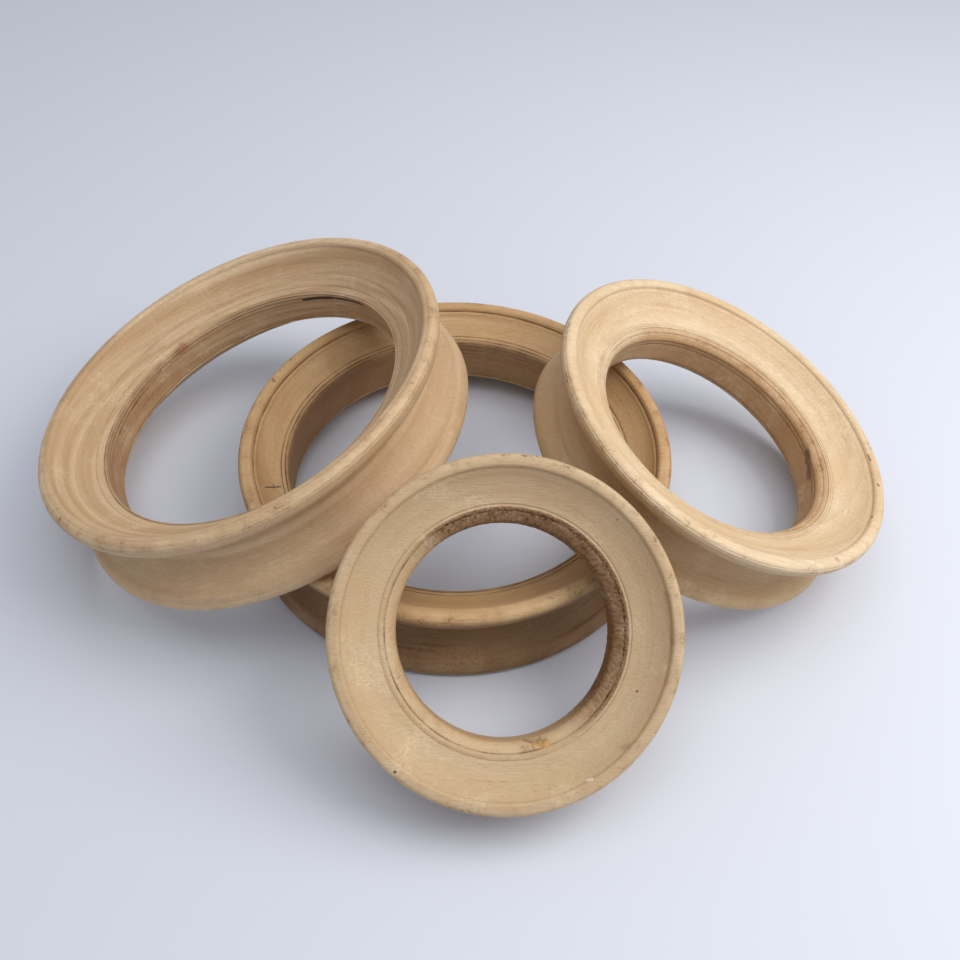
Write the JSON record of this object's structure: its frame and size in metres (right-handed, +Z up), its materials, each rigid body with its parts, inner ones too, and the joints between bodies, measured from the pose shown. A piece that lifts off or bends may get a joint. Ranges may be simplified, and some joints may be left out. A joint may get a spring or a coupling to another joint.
{
  "type": "turned wooden drum shells",
  "caption": "Turned wooden drum shells of different sizes, waisted and flared at both faces, one lying flat and the others leaning on its rim, each free to lift off.",
  "frame": {"origin": "middle of the base shell's lower face, on the surface it lies on", "axes": "+Z up; the front shell leans at the front, -Y; the right shell is on +X and the left shell on -X"},
  "size_m": [0.5861, 0.4174, 0.16],
  "materials": {
    "base_wood": "bare turned wood, tan",
    "left_wood": "bare turned wood, pale tan",
    "right_wood": "bare turned wood, cream",
    "front_wood": "bare turned wood, pale tan"
  },
  "bodies": {
    "base_shell": {"base_shell": "base_wood"},
    "left_shell": {"left_shell": "left_wood"},
    "right_shell": {"right_shell": "right_wood"},
    "front_shell": {"front_shell": "front_wood"}
  },
  "joints": [
    {"name": "left_lift", "type": "slide", "parent": "base_shell", "child": "left_shell", "axis": [-0.5715, 0.0857, 0.8161], "range_m": [0, 0.12]},
    {"name": "right_lift", "type": "slide", "parent": "base_shell", "child": "right_shell", "axis": [0.6738, 0.3032, 0.6738], "range_m": [0, 0.12]},
    {"name": "front_lift", "type": "slide", "parent": "base_shell", "child": "front_shell", "axis": [0.0406, -0.58, 0.8136], "range_m": [0, 0.12]}
  ]
}
